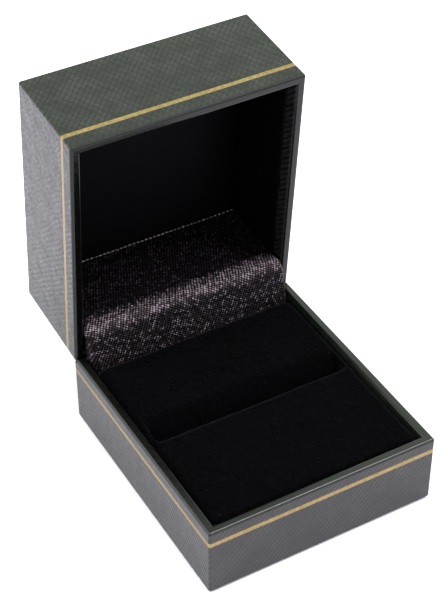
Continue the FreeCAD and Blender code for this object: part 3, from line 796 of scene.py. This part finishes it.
def make_lining():
    """The satin-covered strip inside the lid's walls, bowed softly between its top and bottom edges."""
    low, high = span_of("lid_side_lining", SHUT)
    inset = 0.34
    corners = (
        (low.x + inset, high.y),
        (low.x + inset, low.y + inset),
        (high.x - inset, low.y + inset),
        (high.x - inset, high.y),
    )
    plan = rounded_path(corners, (0.9, 0.9), 0.4)
    tall = high.z - low.z
    levels = [low.z + 0.15 + (tall - 0.2) * number / 44 for number in range(45)]
    rows = []
    for level in levels:
        share = (level - low.z) / tall
        row = []
        for number, point in enumerate(plan):
            ahead = plan[min(number + 1, len(plan) - 1)] - plan[max(number - 1, 0)]
            inward = Vector((-ahead.y, ahead.x)).normalized()
            soft = math.sin(math.pi * share) * 0.16
            drag = lumps(Vector((number * 0.13, level * 0.35, 1)), 1.6, 6.0) * 0.07
            moved = point + inward * (soft + drag)
            row.append(Vector((moved.x, moved.y, level)))
        rows.append(row)
    rows = [list(reversed(row)) for row in rows]
    piece = grid_piece("lid_wall_lining", rows, OPENED, thickness=0.34)
    dress(piece, "lid", "lining", LINING, "lid_side_lining")


PAD_SCALE = 20.0  # the pad is simulated at this many times its size
PAD_STEPS = 20
PAD_MOVE = 0.8  # the furthest that the simulation may move a point, in millimetres


def make_pad():
    """The padded satin panel on the lid's top, puffed between its glued edges."""
    low, high = span_of("lid_pad_satin", SHUT)
    card_low, _ = span_of("lid_pad_card", SHUT)
    step = 0.6
    crown = 0.5
    start_low = low.z + 1.3
    across = int((high.x - low.x) / step)
    along = int((high.y - low.y) / step)
    rows = []
    for r in range(along + 1):
        y = low.y + (high.y - low.y) * r / along
        row = []
        for c in range(across + 1):
            x = low.x + (high.x - low.x) * c / across
            from_edge = min(x - low.x, high.x - x, y - low.y, high.y - y)
            rise = crown * smooth_step(from_edge, 0, 9.0)
            row.append(Vector((x, y, start_low - rise)))
        rows.append(row)
    piece = grid_piece("lid_pad", rows)
    puff(piece, across, along)
    close_pad(piece, card_low.z)
    piece.data.transform(Matrix.Scale(PER_M, 4))
    piece.data.transform(OPENED)
    piece.data.transform(Matrix.Scale(MM, 4))
    piece.data.shade_smooth()
    dress(piece, "lid", "lid_satin", LINING, "lid_pad_satin", "lid_pad_wadding")


def puff(piece, across, along):
    """Blow the satin up a little between its held edges with a cloth simulation."""
    mesh = piece.data
    before = np.array([v.co[:] for v in mesh.vertices])
    mesh.transform(Matrix.Scale(PAD_SCALE, 4))
    held = piece.vertex_groups.new(name="glued")
    width = across + 1
    for index in range(len(mesh.vertices)):
        r, c = divmod(index, width)
        if r in (0, along) or c in (0, across):
            held.add([index], 1.0, "REPLACE")
    cloth = piece.modifiers.new("Cloth", "CLOTH")
    settings = cloth.settings
    settings.quality = 6
    settings.mass = 0.3
    settings.tension_stiffness = 8.0
    settings.compression_stiffness = 8.0
    settings.shear_stiffness = 2.0
    settings.bending_stiffness = 0.6
    settings.vertex_group_mass = held.name
    settings.effector_weights.gravity = 0.0
    settings.use_pressure = True
    settings.uniform_pressure_force = -3.0
    settings.shrink_min = -0.035
    cloth.collision_settings.use_collision = False
    cloth.point_cache.frame_start = 1
    cloth.point_cache.frame_end = PAD_STEPS
    scene = bpy.context.scene
    for frame_number in range(1, PAD_STEPS + 1):
        scene.frame_set(frame_number)
    apply_modifiers(piece)
    scene.frame_set(1)
    after = np.array([v.co[:] for v in piece.data.vertices]) / PAD_SCALE
    limit = PAD_MOVE * MM
    moved = np.clip(after - before, -limit, limit)
    piece.data.vertices.foreach_set("co", (before + moved).ravel())
    piece.data.update()


def close_pad(piece, card_level):
    """Turn the pad's edges back to its card, so that it is a closed cushion."""
    work = bmesh.new()
    work.from_mesh(piece.data)
    boundary = [edge for edge in work.edges if edge.is_boundary]
    for drop in (0.35, 0.8, None):
        made = bmesh.ops.extrude_edge_only(work, edges=boundary)["geom"]
        fresh = [item for item in made if isinstance(item, bmesh.types.BMVert)]
        boundary = [item for item in made if isinstance(item, bmesh.types.BMEdge)]
        boundary = [edge for edge in boundary if edge.is_boundary]
        for vertex in fresh:
            level = (card_level - 0.02) * MM
            vertex.co.z = level if drop is None else min(vertex.co.z + drop * MM, level)
    bmesh.ops.holes_fill(work, edges=boundary)
    bmesh.ops.recalc_face_normals(work, faces=work.faces)
    work.to_mesh(piece.data)
    work.free()


LINING = satin(
    "lining_satin",
    ground=(0.0003, 0.0003, 0.0005),
    painted_glint=(0.0014, 0.0012, 0.0019),
    gloss=0.07,
    tint=(0.9, 0.8, 1.0),
)
make_velvet()
make_spring()
make_hinge_cover()
make_lining()
make_pad()


# ---------------------------------------------------------------------------------------------
# floor, light and camera


def make_stage():
    """A pale floor that runs out of sight, as a sweep of paper does."""
    mesh = bpy.data.meshes.new("floor")
    size = 3.0
    mesh.from_pydata(
        [(-size, -size, 0), (size, -size, 0), (size, size, 0), (-size, size, 0)], [], [(0, 1, 2, 3)]
    )
    floor = bpy.data.objects.new("floor", mesh)
    bpy.context.scene.collection.objects.link(floor)
    paper = Finish("pale_paper", (0.90, 0.835, 0.985), roughness=0.9, Specular_IOR_Level=0.1)
    mesh.materials.append(paper.material)

    world = bpy.data.worlds.new("studio")
    world.use_nodes = True
    background = world.node_tree.nodes["Background"]
    background.inputs["Color"].default_value = (0.80, 0.88, 0.77, 1.0)
    background.inputs["Strength"].default_value = 1.9
    bpy.context.scene.world = world


def area_light(name, place, target, size, power):
    light = bpy.data.lights.new(name, "AREA")
    light.shape = "SQUARE"
    light.size = size
    light.energy = power
    holder = bpy.data.objects.new(name, light)
    holder.location = place
    aim = Vector(target) - Vector(place)
    holder.rotation_euler = aim.to_track_quat("-Z", "Y").to_euler()
    bpy.context.scene.collection.objects.link(holder)


def make_camera():
    """The view from the front left, looking down at the open box."""
    azimuth, elevation, distance = math.radians(29.79), math.radians(40.13), 0.330
    target = Vector((0.0030, 0.0152, 0.0270))
    away = Vector(
        (
            -math.sin(azimuth) * math.cos(elevation),
            -math.cos(azimuth) * math.cos(elevation),
            math.sin(elevation),
        )
    )
    data = bpy.data.cameras.new("camera")
    data.lens = 102.85
    data.sensor_width = 36.0
    data.clip_start = 0.01
    camera = bpy.data.objects.new("camera", data)
    camera.location = target + away * distance
    camera.rotation_euler = (-away).to_track_quat("-Z", "Y").to_euler()
    bpy.context.scene.collection.objects.link(camera)
    bpy.context.scene.camera = camera


make_stage()
# the softbox stands where the satin's ridge mirrors it, and the fill lights the floor on the left
area_light("softbox", place=(0.28, -0.17, 0.66), target=(0, 0, 0.01), size=0.22, power=4.2)
area_light("fill", place=(-0.55, 0.25, 0.5), target=(-0.05, 0, 0), size=0.6, power=3.3)
make_camera()
bpy.context.scene.view_settings.view_transform = "Standard"
